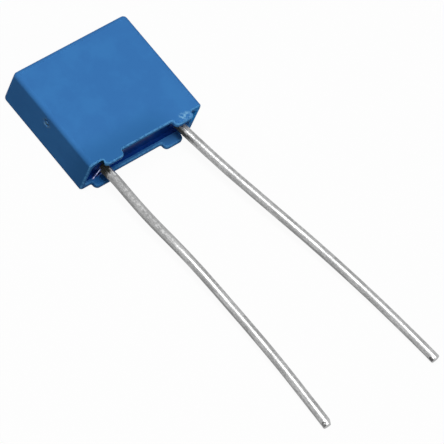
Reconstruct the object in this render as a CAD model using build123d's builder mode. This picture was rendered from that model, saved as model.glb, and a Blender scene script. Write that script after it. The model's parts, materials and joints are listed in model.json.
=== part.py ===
from build123d import *
from math import radians, tan
import os

# Boxed polyester film capacitor with two radial wire leads, lying on one of its broad faces.
# Millimetres. +X runs from one lead to the other, +Y from the leads to the closed end of the case,
# +Z out of the upper broad face. The origin is the middle of the broad face that it lies on.
#
# From the outside in, it is a moulded case, the resin cast into it, two wire leads, the sprayed
# metal contact that each lead is welded to, and the flat roll of film between them.

# Moulded case
case_length = 7.2            # along X
case_height = 6.15           # along Y, from the rim to the closed end, without the feet
case_depth = 2.3             # along Z
long_wall = 0.32             # broad walls, at the rim
end_wall = 0.26              # short walls, at the rim
closed_wall = 0.50           # wall at the closed end
side_edge_radius = 0.25      # four outer edges along Y
closed_edge_radius = 0.25    # outer edges round the closed end
mouth_corner_radius = 0.30   # inner corners of the open end
rim_edge_break = 0.07        # both edges of the rim, and on round the feet
cavity_draft = 1.0           # degrees, so that the core lets go of the moulding
cavity_floor_radius = 0.15   # inner edges at the closed end

# Stand-off feet, moulded in line with the broad walls
foot_width = 1.20
foot_height = 0.35           # beyond the rim
foot_inset = 0.75            # from each short wall's outer face to the nearer side of a foot
foot_corner_radius = 0.25
foot_root_radius = 0.08

# Scar of the moulding gate, on the short wall at -X: a dimple with a nub in its middle
gate_diameter = 0.40
gate_depth = 0.05
gate_nub_diameter = 0.15
gate_from_rim = 3.25
gate_above_rest = 1.70

# Cast resin
resin_recess = 0.34          # from the rim in to its surface
meniscus_rise = 0.16         # how far it creeps up the walls
creep_lip = 0.02             # its thickness where the creep ends, on a wall or a wire
collar_reach = 0.20          # where it creeps up a lead: how far out from the wire it begins,
collar_rise = 0.15           # how far along the wire it ends,
collar_hollow_radius = 0.22  # and the radius of its hollow flank

# Film roll and its sprayed metal contacts
roll_gap_wall = 0.18         # resin between the roll and each broad wall, at the rim
roll_gap_closed = 0.25       # resin between the roll and the closed end
roll_cover = 0.45            # resin between the roll and the resin's surface
contact_thickness = 0.20
contact_edge_break = 0.05

# Wire leads
lead_pitch = 5.00            # middle to middle along X, where they leave the resin
lead_diameter = 0.50
lead_reach = 16.65           # beyond the rim, along Y
weld_flat = 0.05             # how deep the wire is pressed flat where it is welded
weld_gap = 0.60              # from the wire's inner end to the roll's closed-end edge
cut_end_break = 0.10
exit_bend_radius = 1.50      # middle line of the wire, at its first bend
bend_share = 0.45            # part of the shorter straight run that each later bend uses

# The bends of each free wire: distance beyond the rim, and lean away from the case's middle
left_bends = [(-0.55, 0.0), (0.35, -0.24), (3.00, -0.325), (6.00, -0.77), (12.30, -1.12)]
left_tip_lean = -1.09
right_bends = [(-0.20, 0.0), (3.00, 0.58), (8.80, 1.96), (12.75, 2.71)]
right_tip_lean = 3.26

TOUCH = 0.001                # shapes nearer than this count as touching

# Places that follow from the sizes
rim_y = -case_height / 2
foot_end_y = rim_y - foot_height
resin_y = rim_y + resin_recess
middle_z = case_depth / 2
mouth_length = case_length - 2 * end_wall
mouth_depth = case_depth - 2 * long_wall
foot_flare = foot_height * tan(radians(cavity_draft))
foot_spacing = case_length - 2 * foot_inset - foot_width
feet_span = foot_spacing + foot_width + 4 * foot_root_radius
lead_radius = lead_diameter / 2
contact_face_x = lead_pitch / 2 - lead_radius + weld_flat
roll_length = 2 * (contact_face_x - contact_thickness)
roll_thickness = mouth_depth - 2 * roll_gap_wall
roll_near_y = resin_y + roll_cover
roll_far_y = case_height / 2 - closed_wall - roll_gap_closed
roll_height = roll_far_y - roll_near_y
roll_middle_y = (roll_near_y + roll_far_y) / 2
weld_end_y = roll_far_y - weld_gap

os.makedirs("parts", exist_ok=True)


def rim_plane(beyond=0.0):
    """The plane across the open end, that far beyond the rim. Its normal points out of the case."""
    return Plane.XZ.offset(-rim_y + beyond)


def lead_point(side, distance, lean):
    """A point on a lead's middle line, that far beyond the rim. The free wire comes down evenly
    from the middle of the case, so that its cut end touches what the case lies on."""
    share = max(distance + resin_recess, 0) / (lead_reach + resin_recess)
    height = middle_z + (lead_radius - middle_z) * share
    return Vector(side * (lead_pitch / 2 + lean), rim_y - distance, height)


def lead_route(side, bends, tip_lean):
    """The corners of a lead's middle line, from its welded inner end to its cut end."""
    corners = [lead_point(side, distance, lean) for distance, lean in bends]
    return [
        Vector(side * lead_pitch / 2, weld_end_y, middle_z),
        *corners,
        lead_point(side, lead_reach, tip_lean),
    ]


def bend_radii(route):
    """The radius at each corner of a route: a set one at the resin, then gentle ones that use a
    set share of the shorter run beside them."""
    radii = [exit_bend_radius]
    for before, corner, after in zip(route[1:], route[2:], route[3:]):
        turn = (corner - before).get_angle(after - corner)
        shorter = min((corner - before).length, (after - corner).length)
        radii.append(bend_share * shorter / tan(radians(turn / 2)))
    return radii


def make_lead(side, route):
    """A wire lead: pressed flat along its contact, then gently bent to its cut end."""
    with BuildPart() as lead:
        with BuildLine() as middle_line:
            FilletPolyline(route, radius=bend_radii(route))
        with BuildSketch(Plane(origin=route[0], z_dir=route[1] - route[0])):
            Circle(lead_radius)
        sweep(path=middle_line.wires()[0])
        chamfer(lead.edges().sort_by(Axis.Y)[0], length=cut_end_break)
        with BuildSketch(Plane.YZ.offset(side * contact_face_x)):
            with Locations(((weld_end_y + roll_near_y) / 2, middle_z)):
                Rectangle(weld_end_y - roll_near_y, lead_diameter)
        extrude(amount=-side * lead_radius, mode=Mode.SUBTRACT)
    return lead.part


def make_collar(route):
    """Resin that crept up a wire where it leaves the surface, as a ring with a hollow flank."""
    run = route[2] - route[1]
    exit_point = route[1] + run * ((resin_y - route[1].Y) / run.Y)
    across = Plane(origin=exit_point, z_dir=run)
    along = Plane(origin=exit_point, x_dir=across.x_dir, z_dir=-across.y_dir)
    foot_radius = lead_radius + collar_reach
    with BuildPart() as collar:
        with BuildSketch(along):
            with BuildLine():
                foot = (foot_radius, 0)
                top = (lead_radius + creep_lip, collar_rise)
                RadiusArc(foot, top, collar_hollow_radius)
                Polyline(top, (0, collar_rise), (0, -collar_rise), (foot_radius, -collar_rise), foot)
            make_face()
        revolve(axis=Axis(exit_point, run))
    return collar.part


def is_rim_edge(edge):
    """Whether an edge runs round the rim and its feet, on the outside or the inside of the wall."""
    through_a_wall = abs(edge.tangent_at(0.5).Z) > 1 - TOUCH and abs(edge.center().X) < feet_span / 2
    return edge.bounding_box().max.Y < rim_y + TOUCH and not through_a_wall


def write(name, shape):
    """Name a finished piece and write it as one STEP file."""
    shape.label = name
    export_step(shape, f"parts/{name}.step")


# The space in the case, as the mould's core leaves it: it begins at the ends of the feet, so that
# their inner faces are in line with its own. The case is moulded round it, and the resin fills it.
with BuildPart() as cavity:
    with BuildSketch(rim_plane(foot_height)):
        with Locations((0, middle_z)):
            RectangleRounded(
                mouth_length + 2 * foot_flare,
                mouth_depth + 2 * foot_flare,
                mouth_corner_radius + foot_flare,
            )
    extrude(amount=closed_wall - case_height - foot_height, taper=cavity_draft)
    fillet(cavity.faces().sort_by(Axis.Y)[-1].edges(), radius=cavity_floor_radius)

# The case: a box with round edges and a drafted cavity, on four feet in line with its broad walls.
with BuildPart() as case:
    with BuildSketch(rim_plane()):
        with Locations((0, middle_z)):
            Rectangle(case_length, case_depth)
    extrude(amount=-case_height)
    fillet(case.edges().filter_by(Axis.Y), radius=side_edge_radius)
    closed_edges = case.faces().sort_by(Axis.Y)[-1].edges()
    fillet(closed_edges, radius=min(closed_edge_radius, side_edge_radius))
    with BuildSketch() as feet:
        with Locations((0, foot_end_y)):
            with GridLocations(foot_spacing, 0, 2, 1):
                Rectangle(foot_width, 2 * foot_height, align=(Align.CENTER, Align.MIN))
        with Locations((0, rim_y)):
            Rectangle(feet_span, 2 * foot_height, align=(Align.CENTER, Align.MIN))
        fillet(feet.vertices().group_by(Axis.Y)[0], radius=foot_corner_radius)
        roots = feet.vertices().filter_by_position(Axis.Y, rim_y - TOUCH, rim_y + TOUCH)
        fillet(roots.sort_by(Axis.X)[1:-1], radius=foot_root_radius)
    extrude(amount=case_depth)
    add(cavity.part, mode=Mode.SUBTRACT)
    chamfer(case.edges().filter_by(is_rim_edge), length=rim_edge_break)
    with BuildSketch(Plane.YZ.offset(-case_length / 2)):
        with Locations((rim_y + gate_from_rim, gate_above_rest)):
            Circle(gate_diameter / 2)
            Circle(gate_nub_diameter / 2, mode=Mode.SUBTRACT)
    extrude(amount=gate_depth, mode=Mode.SUBTRACT)
write("case", case.part)

# The roll: film wound flat about an axis along X, so that its section is a flattened oval.
with BuildPart() as film_roll:
    with BuildSketch(Plane.YZ.offset(-roll_length / 2)):
        with Locations((roll_middle_y, middle_z)):
            SlotOverall(roll_height, roll_thickness)
    extrude(amount=roll_length)
write("film_roll", film_roll.part)

# The contacts: metal sprayed on each end of the roll, over its whole section.
contacts = []
for side in (-1, 1):
    with BuildPart() as contact:
        with BuildSketch(Plane.YZ.offset(side * roll_length / 2)):
            with Locations((roll_middle_y, middle_z)):
                SlotOverall(roll_height, roll_thickness)
        extrude(amount=side * contact_thickness)
        outer_face = contact.faces().sort_by(Axis((0, 0, 0), (side, 0, 0)))[-1]
        chamfer(outer_face.edges(), length=contact_edge_break)
    contacts.append(contact.part)
write("contact_left", contacts[0])
write("contact_right", contacts[1])

# The leads: tinned wire, each welded to its contact.
left_route = lead_route(-1, left_bends, left_tip_lean)
right_route = lead_route(1, right_bends, right_tip_lean)
lead_left = make_lead(-1, left_route)
lead_right = make_lead(1, right_route)
write("lead_left", lead_left)
write("lead_right", lead_right)

# The hollow above the cast resin: its rounded bottom edge leaves the resin creeping up the walls.
with BuildPart() as hollow:
    with BuildSketch(rim_plane()):
        with Locations((0, middle_z)):
            RectangleRounded(
                mouth_length - 2 * creep_lip,
                mouth_depth - 2 * creep_lip,
                mouth_corner_radius - creep_lip,
            )
    extrude(amount=-resin_recess)
    fillet(hollow.faces().sort_by(Axis.Y)[-1].edges(), radius=meniscus_rise)

# The resin: it fills the case round the roll, its contacts and the inner ends of the leads.
with BuildPart() as potting_resin:
    add(cavity.part)
    with BuildSketch(rim_plane(foot_height)):
        with Locations((0, middle_z)):
            Rectangle(case_length, case_depth)
    extrude(amount=meniscus_rise - resin_recess - foot_height, mode=Mode.SUBTRACT)
    add(hollow.part, mode=Mode.SUBTRACT)
    add([make_collar(left_route), make_collar(right_route)])
    add([film_roll.part, *contacts, lead_left, lead_right], mode=Mode.SUBTRACT)
write("potting_resin", potting_resin.part)
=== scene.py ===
"""Looks of a small boxed film capacitor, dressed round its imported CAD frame.

Metres, in the CAD's own frame: +X runs from one lead to the other, +Y from the leads to the
closed end of the case, +Z up. The part lies on a broad face of its case and on the cut ends of
its two leads.
"""

import json
import logging
import math
from dataclasses import dataclass
from enum import Enum
from typing import Any

import bmesh
import bpy
from mathutils import Matrix, Quaternion, Vector, noise
from mathutils.bvhtree import BVHTree


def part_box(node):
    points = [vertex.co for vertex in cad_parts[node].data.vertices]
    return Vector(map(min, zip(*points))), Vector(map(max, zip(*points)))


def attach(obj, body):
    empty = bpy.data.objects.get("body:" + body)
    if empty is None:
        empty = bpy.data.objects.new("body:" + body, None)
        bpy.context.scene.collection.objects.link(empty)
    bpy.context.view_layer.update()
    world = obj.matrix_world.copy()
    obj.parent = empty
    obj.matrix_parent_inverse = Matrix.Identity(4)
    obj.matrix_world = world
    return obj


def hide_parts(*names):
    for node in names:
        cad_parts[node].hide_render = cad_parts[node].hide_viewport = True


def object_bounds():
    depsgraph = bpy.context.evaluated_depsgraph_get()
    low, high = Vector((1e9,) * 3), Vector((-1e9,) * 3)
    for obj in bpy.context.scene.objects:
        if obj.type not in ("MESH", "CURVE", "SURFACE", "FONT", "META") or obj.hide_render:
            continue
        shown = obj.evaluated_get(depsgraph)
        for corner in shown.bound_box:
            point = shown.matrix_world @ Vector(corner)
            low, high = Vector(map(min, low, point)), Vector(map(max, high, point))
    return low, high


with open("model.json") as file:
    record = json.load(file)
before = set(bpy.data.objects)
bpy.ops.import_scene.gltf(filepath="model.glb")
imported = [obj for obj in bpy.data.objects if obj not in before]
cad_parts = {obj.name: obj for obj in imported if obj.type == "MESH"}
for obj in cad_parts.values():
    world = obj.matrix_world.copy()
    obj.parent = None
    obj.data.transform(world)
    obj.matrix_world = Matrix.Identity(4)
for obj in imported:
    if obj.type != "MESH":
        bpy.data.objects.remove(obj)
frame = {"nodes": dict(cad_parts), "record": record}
CAD_LOW, CAD_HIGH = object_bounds()

LOG = logging.getLogger("film_capacitor")
BODY = "root"
MM = 0.001
FOOT_HEIGHT = 0.35 * MM
# Faces with pale wear and a painted highlight on the rim and feet.
WEAR_AND_HIGHLIGHT = "edge_wear"
STRAIGHT = "straight_place"
LOW_FLANK = Vector((-0.837, 0.0, -0.547))
Colour = tuple[float, float, float]
Triple = tuple[float, float, float]
Span = tuple[float, float]


class Side(Enum):
    """Which of two like pieces is meant. The value is the sign of its place along X."""

    LEFT = -1
    RIGHT = 1

    @property
    def word(self) -> str:
        """The side's word in the names of nodes and mounts."""
        return self.name.lower()


# Shader maths


class Shade:
    """A number that varies over a surface. Python's operators on it add Math nodes."""

    def __init__(self, graph: "Graph", socket: bpy.types.NodeSocket) -> None:
        """Wrap an output socket.

        Args:
            graph: The node tree's builder.
            socket: The output that gives the number.
        """
        self.graph = graph
        self.socket = socket

    def _math(self, operation: str, *terms: "Shade | float") -> "Shade":
        """Add a Math node.

        Args:
            operation: The Math node's operation.
            *terms: Its inputs in order.

        Returns:
            The node's result.
        """
        node = self.graph.node("ShaderNodeMath", {"operation": operation}, dict(enumerate(terms)))
        return Shade(self.graph, node.outputs[0])

    def __add__(self, other: "Shade | float") -> "Shade":
        """Sum."""
        return self._math("ADD", self, other)

    __radd__ = __add__

    def __sub__(self, other: "Shade | float") -> "Shade":
        """Difference."""
        return self._math("SUBTRACT", self, other)

    def __rsub__(self, other: float) -> "Shade":
        """Difference from a number."""
        return self._math("SUBTRACT", other, self)

    def __mul__(self, other: "Shade | float") -> "Shade":
        """Product."""
        return self._math("MULTIPLY", self, other)

    __rmul__ = __mul__

    def __truediv__(self, other: "Shade | float") -> "Shade":
        """Quotient."""
        return self._math("DIVIDE", self, other)

    def __pow__(self, other: "Shade | float") -> "Shade":
        """Power."""
        return self._math("POWER", self, other)

    def step(self, start: float, end: float) -> "Shade":
        """Turn smoothly from 0 at start to 1 at end.

        Args:
            start: The number that gives 0.
            end: The number that gives 1.

        Returns:
            The smooth step.
        """
        limits = {"Value": self, "From Min": start, "From Max": end}
        node = self.graph.node("ShaderNodeMapRange", {"interpolation_type": "SMOOTHSTEP"}, limits)
        return Shade(self.graph, node.outputs["Result"])


class Graph:
    """Builds one material's node tree."""

    def __init__(self, tree: bpy.types.NodeTree) -> None:
        """Empty a node tree to build in.

        Args:
            tree: The tree.
        """
        self.tree = tree
        self.tree.nodes.clear()

    def node(
        self,
        kind: str,
        settings: dict[str, Any] | None = None,
        inputs: dict[str | int, Any] | None = None,
    ) -> bpy.types.Node:
        """Add a node of any kind.

        Args:
            kind: The node's type name.
            settings: Its own properties, which are set first.
            inputs: Values, sockets or shades for its input sockets, by name or number.

        Returns:
            The node.
        """
        made = self.tree.nodes.new(kind)
        for name, value in (settings or {}).items():
            setattr(made, name, value)
        for name, value in (inputs or {}).items():
            source = value.socket if isinstance(value, Shade) else value
            if isinstance(source, bpy.types.NodeSocket):
                self.tree.links.new(source, made.inputs[name])
            else:
                made.inputs[name].default_value = source
        return made

    def place(
        self, stretch: Triple = (1.0, 1.0, 1.0), straight: bool = False
    ) -> bpy.types.NodeSocket:
        """The place on the object, in millimetres.

        Args:
            stretch: Factors along X, Y and Z. A small one draws a pattern out that way.
            straight: Whether it is the place that a wire's mesh carries, as it was before the
                wire was bent, with Y along the wire.

        Returns:
            The place as a vector socket.
        """
        if straight:
            found = self.node("ShaderNodeAttribute", {"attribute_name": STRAIGHT}).outputs["Vector"]
        else:
            found = self.node("ShaderNodeTexCoord").outputs["Object"]
        scale = tuple(factor / MM for factor in stretch)
        return self.node("ShaderNodeMapping", None, {"Vector": found, "Scale": scale}).outputs[0]

    def number(self, name: str) -> Shade:
        """A number that the piece's own mesh carries.

        Args:
            name: The attribute's name.

        Returns:
            The number.
        """
        carried = self.node("ShaderNodeAttribute", {"attribute_name": name})
        return Shade(self, carried.outputs["Fac"])

    def shown(self) -> Shade:
        """Which rays show a thing to the eye, and which only carry its light.

        Returns:
            1 for rays from the camera, in reflections and through glass, 0 for other light.
        """
        rays = self.node("ShaderNodeLightPath").outputs
        shown = Shade(self, rays["Is Camera Ray"]) + Shade(self, rays["Is Glossy Ray"])
        return (shown + Shade(self, rays["Is Transmission Ray"])).step(0.0, 1.0)

    def along(self, axis: str) -> Shade:
        """The place along one axis, in millimetres.

        Args:
            axis: X, Y or Z.

        Returns:
            The number.
        """
        parts = self.node("ShaderNodeSeparateXYZ", None, {"Vector": self.place()})
        return Shade(self, parts.outputs[axis])

    def towards(self, heading: Vector) -> Shade:
        """How far the surface faces a way.

        Args:
            heading: The way, one unit long.

        Returns:
            1 where it faces that way, 0 across it, -1 where it faces away.
        """
        facing = self.node("ShaderNodeNewGeometry").outputs["Normal"]
        inputs = {0: facing, 1: tuple(heading)}
        node = self.node("ShaderNodeVectorMath", {"operation": "DOT_PRODUCT"}, inputs)
        return Shade(self, node.outputs["Value"])

    def spot(self, mark: "Mark") -> Shade:
        """Where a soft round mark is.

        Args:
            mark: The mark.

        Returns:
            1 in its middle, 0 beyond its reach.
        """
        parts = self.node("ShaderNodeSeparateXYZ", None, {"Vector": self.place()}).outputs
        x, y, z = (
            ((Shade(self, part) - centre) / reach) ** 2.0
            for part, centre, reach in zip(parts, mark.centre, mark.reach)
        )
        return (x + y + z).step(1.0, 0.0)

    def noise(
        self,
        size: float,
        detail: float = 3.0,
        rough: float = 0.5,
        stretch: Triple = (1.0, 1.0, 1.0),
        straight: bool = False,
    ) -> Shade:
        """Cloudy noise between about 0.25 and 0.75.

        Args:
            size: How large a cloud is, in millimetres.
            detail: How many finer layers it has.
            rough: How strong the finer layers are.
            stretch: Factors along X, Y and Z.
            straight: Whether it follows a wire as that was before it was bent.

        Returns:
            The noise.
        """
        inputs = {
            "Vector": self.place(stretch, straight),
            "Scale": 1.0 / size,
            "Detail": detail,
            "Roughness": rough,
        }
        return Shade(self, self.node("ShaderNodeTexNoise", None, inputs).outputs["Fac"])

    def cells(self, size: float, stretch: Triple = (1.0, 1.0, 1.0)) -> Shade:
        """Distance from the nearest of scattered points.

        Args:
            size: How far apart the points are, in millimetres.
            stretch: Factors along X, Y and Z.

        Returns:
            The distance, 0 at a point.
        """
        inputs = {"Vector": self.place(stretch), "Scale": 1.0 / size}
        return Shade(self, self.node("ShaderNodeTexVoronoi", None, inputs).outputs["Distance"])

    def blend(self, amount: Shade, low: Any, high: Any) -> bpy.types.NodeSocket:
        """Mix two colours.

        Args:
            amount: 0 for low, 1 for high.
            low: A colour or a colour socket.
            high: A colour or a colour socket.

        Returns:
            The mixed colour.
        """
        node = self.node("ShaderNodeMix", {"data_type": "RGBA"}, {0: amount})
        for number, colour in ((6, low), (7, high)):
            if isinstance(colour, bpy.types.NodeSocket):
                self.tree.links.new(colour, node.inputs[number])
            else:
                node.inputs[number].default_value = (*colour, 1.0)
        return node.outputs[2]

    def bump(self, height: Shade, depth: float) -> bpy.types.NodeSocket:
        """Turn a height into a normal.

        Args:
            height: The height, between 0 and 1.
            depth: What a height of 1 stands for, in millimetres.

        Returns:
            The normal.
        """
        inputs = {"Height": height, "Distance": depth * MM}
        return self.node("ShaderNodeBump", None, inputs).outputs[0]

    def surface(self, inputs: dict[str, Any]) -> None:
        """Finish the tree with a Principled shader.

        Args:
            inputs: Values or links of its sockets.
        """
        shader = self.node("ShaderNodeBsdfPrincipled", None, inputs)
        self.node("ShaderNodeOutputMaterial", None, {"Surface": shader.outputs[0]})


# Finishes


@dataclass(frozen=True)
class Mark:
    """A soft round mark on a surface: its colour, and its centre and reach in millimetres."""

    colour: Colour
    centre: Triple
    reach: Triple


@dataclass(frozen=True)
class Finish:
    """A finish that makes its own material."""

    name: str

    def material(self) -> bpy.types.Material:
        """Make the material and draw its nodes.

        Returns:
            The material.
        """
        made = bpy.data.materials.new(self.name)
        made.use_nodes = True
        self.draw(Graph(made.node_tree))
        return made

    def draw(self, graph: Graph) -> None:
        """Draw the nodes of the material.

        Args:
            graph: Builder of an empty tree.
        """
        raise NotImplementedError


@dataclass(frozen=True)
class MouldedPolyester(Finish):
    """Satin moulded polyester, with a fine spark-eroded grain and faint flow clouds.

    Its rim is worn pale and carries a painted highlight, one foot is scuffed, and a stress mark
    is round the gate. Painted shade darkens the surface towards the rim and towards the left, a
    painted shadow lies low at the left of the open end, and the rim beside the left wire has a
    darker patch. The right end of the rim has painted light. Each span says where a mask's
    smooth step starts and ends.
    """

    colour: Colour = (0.046, 0.194, 0.505)
    cloud_colour: Colour = (0.050, 0.214, 0.537)
    cloud_size: float = 1.6
    cloud_span: Span = (0.38, 0.64)
    grain_size: float = 0.045
    grain_depth: float = 0.0022
    speck_size: float = 0.16
    speck_share: float = 0.6
    patch_size: float = 0.14
    sheen: float = 0.50
    sheen_spread: float = 0.20
    specular: float = 0.01
    # Painted shade: darker towards the rim and towards the left.
    deep_colour: Colour = (0.036, 0.166, 0.430)
    deep_along: Span = (-1.4, -2.9)
    deep_across: Span = (2.2, 0.4)
    # Pale wear and painted highlight on the slanted faces of the rim and feet.
    worn_colour: Colour = (0.105, 0.350, 0.680)
    worn_span: Span = (0.30, 0.58)
    scuff: Mark = Mark((0.210, 0.480, 0.760), (2.36, -3.17, 2.30), (0.50, 0.30, 0.20))
    scuff_span: Span = (0.42, 0.60)
    stress: Mark = Mark((0.150, 0.290, 0.420), (-3.60, 0.175, 1.70), (0.20, 0.36, 0.34))
    stress_span: Span = (0.40, 0.62)
    # Painted light: a brighter blue at the right end of the rim.
    corner: Mark = Mark((0.034, 0.330, 0.860), (3.28, -3.00, 1.50), (0.32, 0.35, 0.90))
    corner_span: Span = (0.0, 0.5)
    # Painted shadow, low at the left of the open end.
    smear: Mark = Mark((0.016, 0.120, 0.360), (-2.10, -3.15, 0.10), (1.50, 0.60, 0.50))
    # A darker, ragged patch on the upper rim beside the left wire.
    stain: Mark = Mark((0.003, 0.022, 0.040), (-2.80, -3.12, 2.04), (0.44, 0.20, 0.27))
    stain_span: Span = (0.15, 0.45)
    stain_ragged: float = 0.5

    def draw(self, graph: Graph) -> None:
        """Draw the nodes of the material.

        Args:
            graph: Builder of an empty tree.
        """
        cloud = graph.noise(self.cloud_size, detail=4.0, rough=0.6)
        grain = graph.noise(self.grain_size, detail=2.0)
        speck = graph.noise(self.speck_size, rough=0.7)
        patchy = graph.noise(self.patch_size, rough=0.6)
        # Painted shade towards the rim and towards the left.
        painted_shade = graph.along("Y").step(*self.deep_along) * graph.along("X").step(*self.deep_across)
        # The darker patch on the rim beside the left wire, with a ragged edge.
        stain = graph.spot(self.stain) + self.stain_ragged * (patchy - 0.5)
        colour = graph.blend(cloud.step(*self.cloud_span), self.colour, self.cloud_colour)
        for mask, laid in (
            (painted_shade, self.deep_colour),
            (graph.spot(self.stress) * patchy.step(*self.stress_span), self.stress.colour),
            # Pale wear and painted highlight on the rim and feet.
            (graph.number(WEAR_AND_HIGHLIGHT) * patchy.step(*self.worn_span), self.worn_colour),
            # Painted light at the right end of the rim.
            (graph.spot(self.corner).step(*self.corner_span), self.corner.colour),
            # Painted shadow low at the left of the open end.
            (graph.spot(self.smear), self.smear.colour),
            (stain.step(*self.stain_span), self.stain.colour),
            (graph.spot(self.scuff) * patchy.step(*self.scuff_span), self.scuff.colour),
        ):
            colour = graph.blend(mask, colour, laid)
        graph.surface({
            "Base Color": colour,
            "Roughness": self.sheen - self.sheen_spread / 2 + self.sheen_spread * speck,
            "Specular IOR Level": self.specular,
            "Normal": graph.bump(grain + self.speck_share * speck, self.grain_depth),
        })


@dataclass(frozen=True)
class CastEpoxy(Finish):
    """Glossy dark epoxy, with slow waves where it set, and a few flecks."""

    colour: Colour = (0.002, 0.030, 0.200)
    haze_colour: Colour = (0.003, 0.044, 0.260)
    haze_size: float = 0.7
    haze_span: Span = (0.45, 0.70)
    wave_size: float = 0.45
    wave_depth: float = 0.010
    fleck_size: float = 0.35
    fleck_span: Span = (0.16, 0.05)
    fleck_share: float = 0.08
    gloss: float = 0.22
    gloss_spread: float = 0.16
    specular: float = 0.03

    def draw(self, graph: Graph) -> None:
        """Draw the nodes of the material.

        Args:
            graph: Builder of an empty tree.
        """
        haze = graph.noise(self.haze_size)
        wave = graph.noise(self.wave_size, detail=1.0)
        fleck = graph.cells(self.fleck_size).step(*self.fleck_span)
        graph.surface({
            "Base Color": graph.blend(haze.step(*self.haze_span), self.colour, self.haze_colour),
            "Roughness": self.gloss + self.gloss_spread * haze,
            "Specular IOR Level": self.specular,
            "Normal": graph.bump(wave + self.fleck_share * fleck, self.wave_depth),
        })


@dataclass(frozen=True)
class DriedResin(Finish):
    """Resin that dried in the open as a thin glossy thread, pale as a painted highlight."""

    # Pale colours that make the thread a painted highlight as well.
    colour: Colour = (0.27, 0.29, 0.58)
    clear_colour: Colour = (0.68, 0.72, 0.93)
    cloud_size: float = 0.12
    cloud_span: Span = (0.40, 0.56)
    mirror: float = 0.8
    gloss: float = 0.15
    gloss_spread: float = 0.2

    def draw(self, graph: Graph) -> None:
        """Draw the nodes of the material.

        Args:
            graph: Builder of an empty tree.
        """
        cloud = graph.noise(self.cloud_size)
        graph.surface({
            "Base Color": graph.blend(cloud.step(*self.cloud_span), self.colour, self.clear_colour),
            "Metallic": self.mirror,
            "Roughness": self.gloss + self.gloss_spread * cloud,
        })


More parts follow.
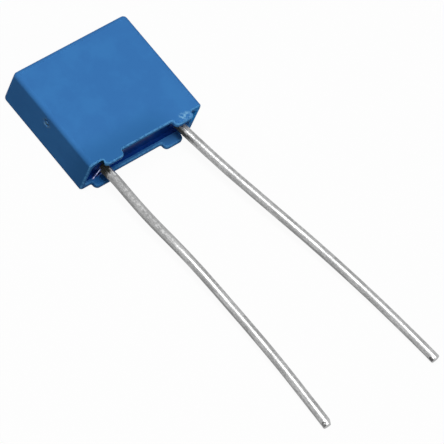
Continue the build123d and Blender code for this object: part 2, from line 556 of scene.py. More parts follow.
@dataclass(frozen=True)
class TinnedWire(Finish):
    """Drawn wire with a tin plating: fine grain and streaks along it, and painted shade on its
    low flank, with dark oxide streaks in it.

    It may have a stretch that forming left dull, a dark film of resin where it comes out of the
    fill that is partly painted shade, a glint there, and a small hollow that the cutter left
    near its end, darkened with painted shade. Places along the wire are the part's Y, in
    millimetres. The two spans of the low flank's painted shade, for its streaks and for its
    growth towards the cut end, say how strong it is at least, and what is added to that.
    """

    nick: Mark
    colour: Colour = (0.51, 0.512, 0.512)
    dark_colour: Colour = (0.235, 0.237, 0.237)
    grain_size: float = 0.075
    grain_stretch: Triple = (1.0, 0.55, 1.0)
    streak_stretch: Triple = (1.0, 0.045, 1.0)
    grain_share: float = 0.6
    coarse_span: Span = (0.40, 0.60)
    patch_size: float = 0.35
    patch_stretch: Triple = (1.0, 0.45, 1.0)
    patch_span: Span = (0.42, 0.70)
    patch_share: float = 0.3
    patch_rough: float = 0.08
    pit_size: float = 0.16
    pit_stretch: Triple = (1.0, 0.7, 1.0)
    pit_span: Span = (0.14, 0.04)
    pit_share: float = 0.3
    gloss: float = 0.19
    mottle: float = 0.24
    grit: float = 1.0
    relief: float = 0.0035
    # Painted shade on the low flank, with dark oxide streaks in it, growing towards the cut end.
    under_colour: Colour = (0.22, 0.222, 0.222)
    under_facing: Span = (0.40, 1.0)
    under_streaks: Span = (0.38, 0.58)
    under_streaked: Span = (0.50, 0.80)
    under_along: Span = (-5.0, -12.0)
    under_grown: Span = (0.40, 0.75)
    nick_span: Span = (0.05, 0.40)
    nick_middle: Span = (0.60, 0.95)
    nick_shine: float = 0.6
    dull_along: Span | None = None
    dull_edge: Span = (1.15, 0.6)
    dull_rough: float = 0.36
    dull_patch: float = 0.12
    dull_calm: float = 0.65
    dull_tarnish: float = 0.30
    # Dark resin film where the wire leaves the fill, partly painted shade.
    film_colour: Colour = (0.012, 0.013, 0.009)
    film_end: float = -3.0
    film_fade: float = 0.3
    film_fray: Span = (0.5, 0.4)
    film_rough: float = 0.15
    film_side: Vector | None = None
    film_side_fray: float = 0.8
    film_facing: Span = (0.05, 0.55)
    glint_at: float | None = None
    glint_colour: Colour = (0.92, 0.93, 0.90)
    glint_side: Vector = Vector((0.70, 0.0, 0.714))
    glint_facing: Span = (0.60, 0.85)
    glint_square: Span = (0.07, 0.02)
    glint_grain: Span = (0.28, 0.38)
    glint_polish: float = 0.6

    def dull(self, graph: Graph) -> Shade:
        """Where forming left the wire dull.

        Args:
            graph: The material's builder.

        Returns:
            1 on the dull stretch, 0 well beyond it.
        """
        start, end = self.dull_along
        far, near = ((part * (end - start) / 2) ** 2 for part in self.dull_edge)
        return ((graph.along("Y") - (start + end) / 2) ** 2.0).step(far, near)

    def film(self, graph: Graph, grain: Shade, patch: Shade) -> Shade:
        """Where resin crept along the wire as a dark film, which is partly painted shade.

        Args:
            graph: The material's builder.
            grain: The fine grain, which frays the film's edge.
            patch: The slow patches, which fray it too.

        Returns:
            1 under the film, 0 on clean tin.
        """
        fine, slow = self.film_fray
        ragged = graph.along("Y") + fine * (grain - 0.5) + slow * (patch - 0.5)
        film = ragged.step(self.film_end - self.film_fade, self.film_end)
        # A side, where given, keeps the film's painted shade to the flank that faces it.
        if self.film_side is not None:
            facing = graph.towards(self.film_side) + self.film_side_fray * (grain - 0.5)
            film = film * facing.step(*self.film_facing)
        return film

    def glint(self, graph: Graph, grain: Shade) -> Shade:
        """Where the wire glints.

        Args:
            graph: The material's builder.
            grain: The fine grain, which breaks the glint up.

        Returns:
            1 in the glint, 0 elsewhere.
        """
        away = (graph.along("Y") - self.glint_at) ** 2.0
        facing = graph.towards(self.glint_side).step(*self.glint_facing)
        return away.step(*self.glint_square) * facing * grain.step(*self.glint_grain)

    def draw(self, graph: Graph) -> None:
        """Draw the nodes of the material.

        Args:
            graph: Builder of an empty tree.
        """
        streak = graph.noise(self.grain_size, rough=0.6, stretch=self.streak_stretch, straight=True)
        grain = graph.noise(self.grain_size, rough=0.65, stretch=self.grain_stretch, straight=True)
        patch = graph.noise(self.patch_size, detail=4.0, rough=0.6, stretch=self.patch_stretch)
        pit = graph.cells(self.pit_size, stretch=self.pit_stretch).step(*self.pit_span)
        coarse = self.grain_share * grain + (1.0 - self.grain_share) * streak
        coarse = coarse.step(*self.coarse_span)
        slow = patch.step(*self.patch_span)
        tarnish = slow * self.patch_share + coarse * (1.0 - self.patch_share)
        rough = self.gloss + self.patch_rough * patch + self.mottle * coarse
        if self.dull_along is not None:
            dull = self.dull(graph)
            rough = rough + dull * (self.dull_rough + self.dull_patch * patch)
            tarnish = tarnish * (1.0 - self.dull_calm * dull) + self.dull_tarnish * dull
        tin = graph.blend(tarnish, self.colour, self.dark_colour)
        # Painted shade on the low flank, streaked with oxide and growing towards the cut end.
        under = graph.towards(LOW_FLANK).step(*self.under_facing)
        for least, more, mask in (
            (*self.under_streaked, streak.step(*self.under_streaks)),
            (*self.under_grown, graph.along("Y").step(*self.under_along)),
        ):
            under = under * (least + more * mask)
        tin = graph.blend(under, tin, self.under_colour)
        # Painted shade in the cutter's hollow, lighter in its middle.
        nick = graph.spot(self.nick)
        hollow = nick.step(*self.nick_span) * (1.0 - self.nick_shine * nick.step(*self.nick_middle))
        tin = graph.blend(hollow, tin, self.nick.colour)
        # Dark resin film, partly painted shade, where the wire leaves the fill.
        film = self.film(graph, grain, patch)
        if self.glint_at is None:
            rough = rough + self.film_rough * film
        else:
            glint = self.glint(graph, grain)
            tin = graph.blend(glint, tin, self.glint_colour)
            film = film * (1.0 - glint)
            rough = (rough + self.film_rough * film) * (1.0 - self.glint_polish * glint)
        height = streak + self.grit * grain + self.pit_share * pit
        graph.surface({
            "Base Color": graph.blend(film, tin, self.film_colour),
            "Metallic": 1.0 - film,
            "Roughness": rough,
            "Normal": graph.bump(height, self.relief),
        })


@dataclass(frozen=True)
class SprayedZinc(Finish):
    """Rough sprayed metal, like fine grey grit."""

    colour: Colour = (0.26, 0.265, 0.27)
    grit_colour: Colour = (0.50, 0.505, 0.51)
    grit_size: float = 0.06
    grit_span: Span = (0.35, 0.70)
    lump_size: float = 0.12
    lump_share: float = 0.7
    relief: float = 0.03
    mirror: float = 0.85
    gloss: float = 0.55
    gloss_spread: float = 0.3

    def draw(self, graph: Graph) -> None:
        """Draw the nodes of the material.

        Args:
            graph: Builder of an empty tree.
        """
        grit = graph.noise(self.grit_size, detail=4.0, rough=0.7)
        lump = graph.cells(self.lump_size)
        graph.surface({
            "Base Color": graph.blend(grit.step(*self.grit_span), self.colour, self.grit_colour),
            "Metallic": self.mirror,
            "Roughness": self.gloss + self.gloss_spread * grit,
            "Normal": graph.bump(grit + self.lump_share * lump, self.relief),
        })


@dataclass(frozen=True)
class WoundFilm(Finish):
    """Metallised film, wound flat, with the edges of its turns as fine lines."""

    colour: Colour = (0.62, 0.63, 0.65)
    gap_colour: Colour = (0.33, 0.34, 0.37)
    turn: float = 0.035
    turn_scale: float = 0.3
    turn_share: float = 0.6
    wander: float = 0.4
    wrinkle_size: float = 0.5
    wrinkle_stretch: Triple = (0.3, 1.0, 1.0)
    relief: float = 0.008
    mirror: float = 0.7
    gloss: float = 0.22
    gloss_spread: float = 0.2

    def draw(self, graph: Graph) -> None:
        """Draw the nodes of the material.

        Args:
            graph: Builder of an empty tree.
        """
        scale = self.turn_scale / self.turn
        bands = {"Vector": graph.place(), "Scale": scale, "Distortion": self.wander}
        wave = graph.node("ShaderNodeTexWave", {"bands_direction": "Z"}, bands)
        line = Shade(graph, wave.outputs["Fac"])
        wrinkle = graph.noise(self.wrinkle_size, stretch=self.wrinkle_stretch)
        bright = line * self.turn_share + (1.0 - self.turn_share) * wrinkle
        graph.surface({
            "Base Color": graph.blend(bright, self.gap_colour, self.colour),
            "Metallic": self.mirror,
            "Roughness": self.gloss + self.gloss_spread * wrinkle,
            "Normal": graph.bump(line + wrinkle, self.relief),
        })


@dataclass(frozen=True)
class StudioPaper(Finish):
    """White paper that the part lies on. It looks near white to the camera and in reflections,
    keeps the part's shadow, and lights the part from below only a little."""

    paper: float = 0.80
    bounce: float = 0.18
    glow: float = 0.95

    def draw(self, graph: Graph) -> None:
        """Draw the nodes of the material.

        Args:
            graph: Builder of an empty tree.
        """
        lit, dim = (
            graph.node("ShaderNodeBsdfDiffuse", None, {"Color": (grey, grey, grey, 1.0)})
            for grey in (self.paper, self.bounce)
        )
        white = graph.node("ShaderNodeEmission", None, {"Strength": 1.0})
        shares = {0: self.glow, 1: lit.outputs[0], 2: white.outputs[0]}
        bright = graph.node("ShaderNodeMixShader", None, shares)
        shares = {0: graph.shown(), 1: dim.outputs[0], 2: bright.outputs[0]}
        both = graph.node("ShaderNodeMixShader", None, shares)
        graph.node("ShaderNodeOutputMaterial", None, {"Surface": both.outputs[0]})


# Making pieces


def add_object(name: str, data: bpy.types.ID) -> bpy.types.Object:
    """Put something in the scene.

    Args:
        name: The object's name.
        data: Its mesh, light or camera.

    Returns:
        The object.
    """
    made = bpy.data.objects.new(name, data)
    bpy.context.scene.collection.objects.link(made)
    return made


def add_mesh(name: str, mesh: bmesh.types.BMesh, finish: Finish) -> bpy.types.Object:
    """Put a bmesh in the scene.

    Args:
        name: The object's name.
        mesh: Its shape, in the part's own frame. It is freed.
        finish: Its finish.

    Returns:
        The object.
    """
    data = bpy.data.meshes.new(name)
    mesh.to_mesh(data)
    mesh.free()
    data.materials.append(finish.material())
    return add_object(name, data)


def new_piece(
    name: str, mesh: bmesh.types.BMesh, finish: Finish, sharp: float
) -> bpy.types.Object:
    """Turn a bmesh into a smooth piece of the part that rides with its only body.

    Args:
        name: The piece's name.
        mesh: Its shape, in the part's own frame. It is freed.
        finish: Its finish.
        sharp: Edges that turn by more degrees than this stay sharp.

    Returns:
        The piece.
    """
    piece = add_mesh(name, mesh, finish)
    piece.data.shade_smooth()
    piece.data.set_sharp_from_angle(angle=math.radians(sharp))
    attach(piece, BODY)
    LOG.info("%s: %d faces, finish %s", name, len(piece.data.polygons), finish.name)
    return piece


def merged_copy(node: str, gap: float = 0.0005 * MM) -> bmesh.types.BMesh:
    """A copy of a CAD node's mesh with its loose triangles joined.

    Args:
        node: The CAD node.
        gap: Points closer than this become one.

    Returns:
        The copy.
    """
    mesh = bmesh.new()
    mesh.from_mesh(frame["nodes"][node].data)
    bmesh.ops.remove_doubles(mesh, verts=mesh.verts, dist=gap)
    return mesh


def dress_node(node: str, finish: Finish) -> None:
    """Give a CAD node that keeps its shape a better finish.

    Args:
        node: The CAD node.
        finish: The finish.
    """
    piece = frame["nodes"][node]
    piece.data.materials.clear()
    piece.data.materials.append(finish.material())
    LOG.info("%s: kept from the CAD, finish %s", node, finish.name)


def start_tube(
    mesh: bmesh.types.BMesh, start: Vector, heading: Vector, radius: float, sides: int
) -> list:
    """Begin a tube with a closed circle.

    Args:
        mesh: The mesh.
        start: The circle's middle.
        heading: The way that the tube goes, one unit long.
        radius: The circle's radius.
        sides: How many sides it has.

    Returns:
        The circle's edges.
    """
    turned = Vector((0, 0, 1)).rotation_difference(heading)
    place = Matrix.Translation(start) @ turned.to_matrix().to_4x4()
    bmesh.ops.create_circle(mesh, cap_ends=True, segments=sides, radius=radius, matrix=place)
    return list(mesh.edges)


def extrude_ring(mesh: bmesh.types.BMesh, edges: list) -> tuple[list, list]:
    """Extrude a ring of edges in place.

    Args:
        mesh: The mesh.
        edges: The ring.

    Returns:
        The new ring's edges and points.
    """
    grown = bmesh.ops.extrude_edge_only(mesh, edges=edges)["geom"]
    verts = [item for item in grown if isinstance(item, bmesh.types.BMVert)]
    ring = [item for item in grown if isinstance(item, bmesh.types.BMEdge)]
    return ring, verts


def move_ring(
    mesh: bmesh.types.BMesh, verts: list, centre: Vector, step: Vector, factor: float
) -> None:
    """Shrink a ring about its middle and move it on.

    Args:
        mesh: The mesh.
        verts: The ring's points.
        centre: The ring's middle.
        step: How far it moves.
        factor: How much it shrinks.
    """
    bmesh.ops.scale(mesh, verts=verts, vec=(factor,) * 3, space=Matrix.Translation(-centre))
    bmesh.ops.translate(mesh, verts=verts, vec=step)


# Sub-assemblies


@dataclass
class MouldedCase:
    """The moulded case, with its sharp edges broken as a real moulding's are."""

    node: str = "case"
    edge_break: float = 0.030 * MM
    edge_segments: int = 2
    flat_degrees: float = 0.05
    sharp_degrees: float = 38.0
    rim_reach: float = 0.09 * MM
    squareness: float = 0.95
    inner_wear: float = 0.7

    def build(self) -> bpy.types.Object:
        """Make the case.

        Returns:
            The piece.
        """
        mesh = merged_copy(self.node)
        flat = math.radians(self.flat_degrees)
        bmesh.ops.dissolve_limit(mesh, angle_limit=flat, verts=mesh.verts, edges=mesh.edges)
        sharp = math.radians(self.sharp_degrees)
        edges = [edge for edge in mesh.edges if edge.is_manifold and edge.calc_face_angle() > sharp]
        bmesh.ops.bevel(
            mesh,
            geom=edges,
            offset=self.edge_break,
            offset_type="OFFSET",
            affect="EDGES",
            segments=self.edge_segments,
            profile=0.5,
            material=-1,
            clamp_overlap=True,
        )
        self.wear_rim(mesh)
        finish = MouldedPolyester("moulded_blue_polyester")
        piece = new_piece("moulded_case", mesh, finish, self.sharp_degrees)
        weighted = piece.modifiers.new("even_faces", "WEIGHTED_NORMAL")
        weighted.keep_sharp = True
        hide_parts(self.node)
        return piece

    def wear_rim(self, mesh: bmesh.types.BMesh) -> None:
        """Mark the slanted faces of the rim and the feet for pale wear and a painted highlight,
        most of all the outer ones.

        Args:
            mesh: The case.
        """
        low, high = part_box(self.node)
        middle = (low + high) / 2
        rim = low.y + FOOT_HEIGHT
        layer = mesh.faces.layers.float.new(WEAR_AND_HIGHLIGHT)
        mesh.normal_update()
        for face in mesh.faces:
            centre = face.calc_center_median()
            away = centre - middle
            slanted = max(abs(part) for part in face.normal) < self.squareness
            if centre.y < rim + self.rim_reach and slanted:
                outward = away.x * face.normal.x + away.z * face.normal.z
                face[layer] = 1.0 if outward > 0 else self.inner_wear


@dataclass
class CastFill:
    """The resin in the open end: the CAD's own solid under a skin with the ripples it set in."""

    node: str = "potting_resin"
    columns: int = 190
    rows: int = 46
    proud: float = 0.004 * MM
    skirt: float = 0.28 * MM
    ripple: float = 0.012 * MM
    ripple_size: float = 0.55 * MM
    standoff: float = 0.5 * MM
    sharp_degrees: float = 60.0

    def surface_height(self, tree: BVHTree, start: Vector, level: float) -> float:
        """Where the resin's surface is at one place of the open end.

        Args:
            tree: The CAD resin's faces.
            start: A point in front of that place.
            level: The Y of the flat part of the surface.

        Returns:
            The Y of the surface, or of its flat part where a wire goes through it.
        """
        hit = tree.ray_cast(start, Vector((0, 1, 0)))[0]
        if hit is None or hit.y > level + self.proud:
            return level
        return hit.y

    def build(self) -> bpy.types.Object:
        """Make the skin of the resin.

        Returns:
            The piece.
        """
        finish = CastEpoxy("cast_dark_epoxy")
        dress_node(self.node, finish)
        source = merged_copy(self.node)
        tree = BVHTree.FromBMesh(source)
        source.free()
        low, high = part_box(self.node)
        middle = (low + high) / 2
        front = Vector((middle.x, low.y - self.standoff, middle.z))
        level = tree.ray_cast(front, Vector((0, 1, 0)))[0].y
        mesh = bmesh.new()
        turn = Matrix.Rotation(math.radians(90), 4, "X")
        size = Matrix.Diagonal(((high.x - low.x) / 2, (high.z - low.z) / 2, 1.0, 1.0))
        bmesh.ops.create_grid(
            mesh,
            x_segments=self.columns,
            y_segments=self.rows,
            size=1.0,
            matrix=Matrix.Translation((middle.x, level, middle.z)) @ turn @ size,
        )
        for vert in mesh.verts:
            start = Vector((vert.co.x, low.y - self.standoff, vert.co.z))
            height = self.surface_height(tree, start, level)
            wave = noise.noise(vert.co / self.ripple_size) * self.ripple
            vert.co.y = height - self.proud + wave
        rim = [edge for edge in mesh.edges if edge.is_boundary]
        verts = extrude_ring(mesh, rim)[1]
        bmesh.ops.translate(mesh, verts=verts, vec=(0, self.skirt, 0))
        bmesh.ops.contextual_create(mesh, geom=[edge for edge in mesh.edges if edge.is_boundary])
        bmesh.ops.recalc_face_normals(mesh, faces=mesh.faces)
        return new_piece("resin_skin", mesh, finish, self.sharp_degrees)


@dataclass
class ResinThread:
    """A thin thread of resin that was drawn out from the case's wall to a wire. Its pale finish
    makes it also a painted highlight.
    """

    name: str
    start: Vector
    end: Vector
    width: float
    steps: int = 14
    sides: int = 12
    flare: float = 0.8
    flare_power: int = 6
    uneven: float = 0.25
    waves: float = 6.0
    seed: float = 0.3
    sharp_degrees: float = 60.0

    def radius_at(self, share: float) -> float:
        """The thread's radius at a place along it, widest at its two ends.

        Args:
            share: The place, 0 at its start and 1 at its end.

        Returns:
            The radius.
        """
        flared = 1.0 + self.flare * (2 * share - 1) ** self.flare_power
        wave = noise.noise((self.waves * share, self.seed, self.width / MM))
        return self.width / 2 * flared * (1.0 + self.uneven * wave)

    def build(self) -> bpy.types.Object:
        """Make the thread.

        Returns:
            The piece.
        """
        mesh = bmesh.new()
        line = self.end - self.start
        radius = self.width / 2 * (1.0 + self.flare)
        edges = start_tube(mesh, self.start, line.normalized(), radius, self.sides)
        for number in range(1, self.steps + 1):
            wanted = self.radius_at(number / self.steps)
            centre = self.start + line * (number - 1) / self.steps
            edges, verts = extrude_ring(mesh, edges)
            move_ring(mesh, verts, centre, line / self.steps, wanted / radius)
            radius = wanted
        bmesh.ops.contextual_create(mesh, geom=edges)
        bmesh.ops.recalc_face_normals(mesh, faces=mesh.faces)
        finish = DriedResin("dried_pale_resin")
        return new_piece(self.name, mesh, finish, self.sharp_degrees)


@dataclass
class WireLead:
    """One wire lead. It follows the CAD lead's middle line, with the small dents of handling.

    Its cut end is rounded over by cut_round and lies trim short of the CAD lead's. A slant, if it
    has one, takes slant_long off the corner along the wire and slant_deep across it. The middle
    line is read off between the two shares of the length in ends. The dimple's rings are pairs:
    how large a ring is beside the wire, and its share of the dimple's depth.
    """

    side: Side
    trim: float
    cut_round: float
    slant_long: float = 0.0
    slant_deep: float = 0.13 * MM
    sections: int = 24
    ends: Span = (0.002, 0.995)
    ring: int = 48
    ring_spacing: float = 0.06 * MM
    curve_steps: int = 16
    dent: float = 0.0035 * MM
    dent_size: float = 0.45 * MM
    dent_stretch: float = 0.6
    cut_steps: int = 5
    dimple: float = 0.035 * MM
    dimple_rings: tuple[Span, ...] = ((0.55, 0.25), (0.30, 0.7), (0.12, 0.95))
    nick_reach: float = 0.13 * MM
    nick_depth: float = 0.05 * MM
    nick_steep: float = 2.0
    sharp_degrees: float = 42.0

    @property
    def node(self) -> str:
        """The CAD node of this lead."""
        return f"lead_{self.side.word}"

    @property
    def radius(self) -> float:
        """The wire's radius, as the mount at its end states it."""
        mounts = {mount["name"]: mount for mount in frame["record"]["mounts"]}
        return mounts[f"lead_end_{self.side.word}"]["dims"]["r_mm"] * MM

    def middle_points(self) -> list[Vector]:
        """Points of the CAD lead's middle line, from its welded end to its cut end.

        Returns:
            The middles of evenly spaced sections, with the two ends.
        """
        low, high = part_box(self.node)
        weld_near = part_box(f"contact_{self.side.word}")[0].y
        points = []
        for number in range(self.sections + 1):
            share = min(max(number / self.sections, self.ends[0]), self.ends[1])
            y = high.y + (low.y - high.y) * share
            source = merged_copy(self.node)
            everything = [*source.verts, *source.edges, *source.faces]
            cut = bmesh.ops.bisect_plane(
                source, geom=everything, plane_co=(0, y, 0), plane_no=(0, 1, 0)
            )["geom_cut"]
            ring = [item.co.copy() for item in cut if isinstance(item, bmesh.types.BMVert)]
            source.free()
            x = (min(p.x for p in ring) + max(p.x for p in ring)) / 2
            z = (min(p.z for p in ring) + max(p.z for p in ring)) / 2
            if y > weld_near:
                outer = max(p.x * self.side.value for p in ring)
                x = self.side.value * (outer - self.radius)
            points.append(Vector((x, y, z)))
        points[0].y = high.y
        points[-1].y = low.y + self.trim
        return points

    def smooth_path(self) -> list[Vector]:
        """Evenly spaced points of a smooth curve along the middle line.

        Returns:
            The points, welded end first.
        """
        curve = bpy.data.curves.new(f"{self.node}_path", "CURVE")
        curve.dimensions = "3D"
        curve.resolution_u = self.curve_steps
        route = self.middle_points()
        spline = curve.splines.new("NURBS")
        spline.points.add(len(route) - 1)
        for point, place in zip(spline.points, route):
            point.co = (*place, 1.0)
        spline.order_u = 4
        spline.use_endpoint_u = True
        carrier = bpy.data.objects.new(curve.name, curve)
        line = bpy.data.meshes.new_from_object(carrier)
        places = [vertex.co.copy() for vertex in line.vertices]
        bpy.data.objects.remove(carrier)
        bpy.data.meshes.remove(line)
        bpy.data.curves.remove(curve)
        return self.spaced(places)

    def spaced(self, places: list[Vector]) -> list[Vector]:
        """Even out the spacing of a line's points.

        Args:
            places: The line's points.

        Returns:
            Points about a ring's spacing apart.
        """
        lengths = [0.0]
        for before, after in zip(places, places[1:]):
            lengths.append(lengths[-1] + (after - before).length)
        count = round(lengths[-1] / self.ring_spacing)
        result = []
        index = 0
        for number in range(count + 1):
            want = lengths[-1] * number / count
            while index < len(places) - 2 and lengths[index + 1] < want:
                index += 1
            share = (want - lengths[index]) / (lengths[index + 1] - lengths[index])
            result.append(places[index].lerp(places[index + 1], min(share, 1.0)))
        return result

    def build(self, finish: TinnedWire) -> bpy.types.Object:
        """Make the wire.

        Args:
            finish: Its plating.

        Returns:
            The piece.
        """
        path = self.smooth_path()
        mesh = bmesh.new()
        self.draw_along(mesh, path)
        self.press_flat(mesh)
        self.handle(mesh)
        self.bite(mesh, Vector(finish.nick.centre) * MM)
        if self.slant_long > 0:
            self.slant(mesh, path[-1], (path[-1] - path[-2]).normalized())
        bmesh.ops.recalc_face_normals(mesh, faces=mesh.faces)
        name = f"wire_{self.side.word}"
        piece = new_piece(name, mesh, finish, self.sharp_degrees)
        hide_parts(self.node)
        return piece

    def draw_along(self, mesh: bmesh.types.BMesh, path: list[Vector]) -> None:
        """Draw the wire along its path, and note on it where each point was on straight wire.

        Args:
            mesh: An empty mesh.
            path: Evenly spaced points of the wire's middle line.
        """
        straight = mesh.verts.layers.float_vector.new(STRAIGHT)
        heading = (path[1] - path[0]).normalized()
        edges = start_tube(mesh, path[0], heading, self.radius, self.ring)
        for vert in mesh.verts:
            vert[straight] = vert.co - path[0]
        centre = path[0]
        for number in range(1, len(path)):
            if (path[-1] - path[number]).length < self.cut_round:
                break
            edges, verts = extrude_ring(mesh, edges)
            step = path[number] - path[number - 1]
            for vert in verts:
                vert[straight] += Vector((0, -step.length, 0))
            bmesh.ops.translate(mesh, verts=verts, vec=step)
            tangent = (path[min(number + 1, len(path) - 1)] - path[number - 1]).normalized()
            bend = heading.rotation_difference(tangent).to_matrix()
            bmesh.ops.rotate(mesh, verts=verts, cent=path[number], matrix=bend)
            heading = tangent
            centre = path[number]
        heading = (path[-1] - path[-2]).normalized()
        last = path[-1] - heading * self.cut_round
        edges, verts = extrude_ring(mesh, edges)
        bmesh.ops.translate(mesh, verts=verts, vec=last - centre)
        self.close_cut_end(mesh, edges, last, heading)

    def close_cut_end(
        self, mesh: bmesh.types.BMesh, edges: list, centre: Vector, heading: Vector
    ) -> None:
        """Round the cut end over and close it with the shallow dimple of a sheared wire.

        Args:
            mesh: The mesh.
            edges: The last full ring.
            centre: That ring's middle.
            heading: The way that the wire points.
        """
        rings = []
        for number in range(1, self.cut_steps + 1):
            angle = math.radians(90) * number / self.cut_steps
            shrink = 1.0 - self.cut_round / self.radius * (1.0 - math.cos(angle))
            rings.append((shrink, self.cut_round * math.sin(angle)))
        for share, sink in self.dimple_rings:
            rings.append((share, self.cut_round - self.dimple * sink))
        size, done = 1.0, 0.0
        for share, forward in rings:
            edges, verts = extrude_ring(mesh, edges)
            step = heading * (forward - done)
            move_ring(mesh, verts, centre + heading * done, step, share / size)
            size, done = share, forward
        bmesh.ops.contextual_create(mesh, geom=edges)

    def press_flat(self, mesh: bmesh.types.BMesh) -> None:
        """Press the wire flat where it is welded, so that it lies on its contact.

        Args:
            mesh: The wire.
        """
        low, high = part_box(f"contact_{self.side.word}")
        face = high.x if self.side is Side.RIGHT else -low.x
        for vert in mesh.verts:
            if vert.co.y > low.y:
                vert.co.x = self.side.value * max(vert.co.x * self.side.value, face)

    def handle(self, mesh: bmesh.types.BMesh) -> None:
        """Dent the free wire a little, always inwards.

        Args:
            mesh: The wire.
        """
        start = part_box("potting_resin")[0].y
        mesh.normal_update()
        for vert in mesh.verts:
            if vert.co.y < start:
                x, y, z = vert.co
                wave = noise.noise(Vector((x, y * self.dent_stretch, z)) / self.dent_size)
                vert.co -= vert.normal * self.dent * (0.5 + 0.5 * wave)

    def bite(self, mesh: bmesh.types.BMesh, centre: Vector) -> None:
        """Press the small hollow that the cutter left beside the cut end.

        Args:
            mesh: The wire.
            centre: The hollow's middle.
        """
        mesh.normal_update()
        for vert in mesh.verts:
            near = 1.0 - (vert.co - centre).length / self.nick_reach
            if near > 0:
                vert.co -= vert.normal * self.nick_depth * min(1.0, self.nick_steep * near)

    def slant(self, mesh: bmesh.types.BMesh, tip: Vector, heading: Vector) -> None:
        """Press the upper corner of the cut end to a slant.

        Args:
            mesh: The wire.
            tip: The middle of the cut end.
            heading: The way that the wire points.
        """
        high_flank = -LOW_FLANK
        foot = tip + high_flank * self.radius - heading * self.slant_long
        facing = (heading * self.slant_deep + high_flank * self.slant_long).normalized()
        for vert in mesh.verts:
            if (vert.co - tip).length < 2 * self.radius:
                vert.co -= facing * max(0.0, (vert.co - foot).dot(facing))


@dataclass
class FilmElement:
    """What is sealed inside: the roll of film and the metal sprayed on its two ends."""

    roll_node: str = "film_roll"

    def build(self) -> None:
        """Dress the sealed pieces."""
        dress_node(self.roll_node, WoundFilm("wound_metallised_film"))
        zinc = SprayedZinc("sprayed_zinc_grit")
        for side in Side:
            dress_node(f"contact_{side.word}", zinc)


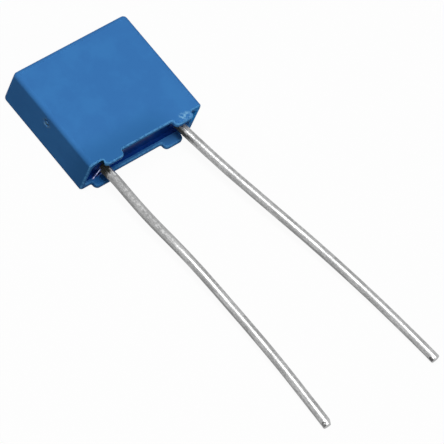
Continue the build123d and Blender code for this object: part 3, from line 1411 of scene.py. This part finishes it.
@dataclass
class Studio:
    """White paper, a soft lamp overhead, a dim one in front, a pale world and the camera."""

    floor_size: float = 1.2
    floor_gap: float = 0.01 * MM
    ambient: float = 0.12
    lamp_distance: float = 0.5
    lamp_power: float = 2.14
    lamp_size: Span = (0.50, 0.18)
    lamp_heading: Vector = Vector((-0.225, -0.04, 0.935))
    fill_power: float = 0.24
    fill_size: Span = (0.30, 0.30)
    fill_heading: Vector = Vector((0.15, -0.90, 0.42))
    target_from_rim: Vector = Vector((0.803 * MM, -5.347 * MM, 0.014 * MM))
    azimuth: float = -62.752
    elevation: float = 53.668
    roll: float = 27.442
    distance: float = 192.35 * MM
    lens: float = 324.3
    clip: Span = (0.01, 10.0)

    def build(self) -> None:
        """Make the floor, the light and the camera."""
        self.lay_floor()
        self.hang_lamp("soft_lamp", self.lamp_power, self.lamp_size, self.lamp_heading)
        self.hang_lamp("front_fill", self.fill_power, self.fill_size, self.fill_heading)
        self.light_world()
        self.place_camera()
        bpy.context.scene.view_settings.view_transform = "Standard"

    def lay_floor(self) -> None:
        """Lay the paper under the part."""
        mesh = bmesh.new()
        place = Matrix.Translation((0, 0, CAD_LOW.z - self.floor_gap))
        half = self.floor_size / 2
        bmesh.ops.create_grid(mesh, x_segments=1, y_segments=1, size=half, matrix=place)
        floor = add_mesh("studio_paper", mesh, StudioPaper("studio_paper"))

    def hang_lamp(self, name: str, power: float, size: Span, heading: Vector) -> None:
        """Hang a soft lamp that shines on the part.

        Args:
            name: The lamp's name.
            power: Its power, in watts.
            size: Its width and length.
            heading: The way to it from the part.
        """
        lamp = bpy.data.lights.new(name, "AREA")
        lamp.shape = "RECTANGLE"
        lamp.size, lamp.size_y = size
        lamp.energy = power
        hung = add_object(name, lamp)
        heading = heading.normalized()
        hung.location = heading * self.lamp_distance
        hung.rotation_mode = "QUATERNION"
        hung.rotation_quaternion = (-heading).to_track_quat("-Z", "Y")

    def light_world(self) -> None:
        """Make the world white to the eye and in reflections, and a dim light on surfaces."""
        world = bpy.data.worlds.new("pale_world")
        world.use_nodes = True
        graph = Graph(world.node_tree)
        strength = self.ambient + (1.0 - self.ambient) * graph.shown()
        inputs = {"Strength": strength, "Color": (1.0, 1.0, 1.0, 1.0)}
        sky = graph.node("ShaderNodeBackground", None, inputs)
        graph.node("ShaderNodeOutputWorld", None, {"Surface": sky.outputs[0]})
        bpy.context.scene.world = world

    def place_camera(self) -> None:
        """Place the camera with its roll about the view."""
        low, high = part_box("case")
        feet = low.y
        rim = Vector(((low.x + high.x) / 2, feet + FOOT_HEIGHT, (low.z + high.z) / 2))
        turn, rise = math.radians(self.azimuth), math.radians(self.elevation)
        level = math.cos(rise)
        back = Vector((math.sin(turn) * level, -math.cos(turn) * level, math.sin(rise)))
        lens = bpy.data.cameras.new("camera")
        lens.lens = self.lens
        lens.clip_start, lens.clip_end = self.clip
        camera = add_object("camera", lens)
        camera.location = rim + self.target_from_rim + back * self.distance
        camera.rotation_mode = "QUATERNION"
        upright = (-back).to_track_quat("-Z", "Y")
        camera.rotation_quaternion = Quaternion(back, math.radians(self.roll)) @ upright
        bpy.context.scene.camera = camera


def main() -> None:
    """Build every sub-assembly in order."""
    logging.basicConfig(level=logging.INFO, format="%(name)s: %(message)s")
    MouldedCase().build()
    CastFill().build()
    # Resin threads in the recess, pale so that they also stand for a painted highlight.
    for name, start, end, width in (
        ("resin_thread_long", (-2.70, -2.93, 0.33), (-2.58, -3.02, 1.24), 0.100),
        ("resin_thread_short", (-2.44, -2.95, 0.33), (-2.53, -3.22, 1.16), 0.070),
    ):
        ResinThread(name, Vector(start) * MM, Vector(end) * MM, width * MM).build()
    # Grey of the painted shade in the hollows that the cutter left.
    nick_shade_grey, nick_reach = (0.10, 0.10, 0.10), (0.13, 0.15, 0.16)
    left_finish = TinnedWire(
        "tinned_wire_left",
        nick=Mark(nick_shade_grey, (-1.62, -19.42, 0.40), nick_reach),
        gloss=0.22,
        mottle=0.18,
        grit=0.5,
        dull_along=(-8.6, -2.6),
        film_end=-3.33,
        film_fade=0.30,
        glint_at=-3.50,
    )
    right_finish = TinnedWire(
        "tinned_wire_right",
        nick=Mark(nick_shade_grey, (5.47, -19.48, 0.36), nick_reach),
        nick_shine=0.0,
        # On this wire the film is painted shade on its low flank.
        film_end=-3.5,
        film_fade=0.8,
        film_side=LOW_FLANK,
    )
    left = WireLead(Side.LEFT, trim=0.17 * MM, cut_round=0.045 * MM, slant_long=0.20 * MM)
    left.build(left_finish)
    WireLead(Side.RIGHT, trim=0.135 * MM, cut_round=0.07 * MM).build(right_finish)
    FilmElement().build()
    Studio().build()


if __name__ == "__main__":
    main()
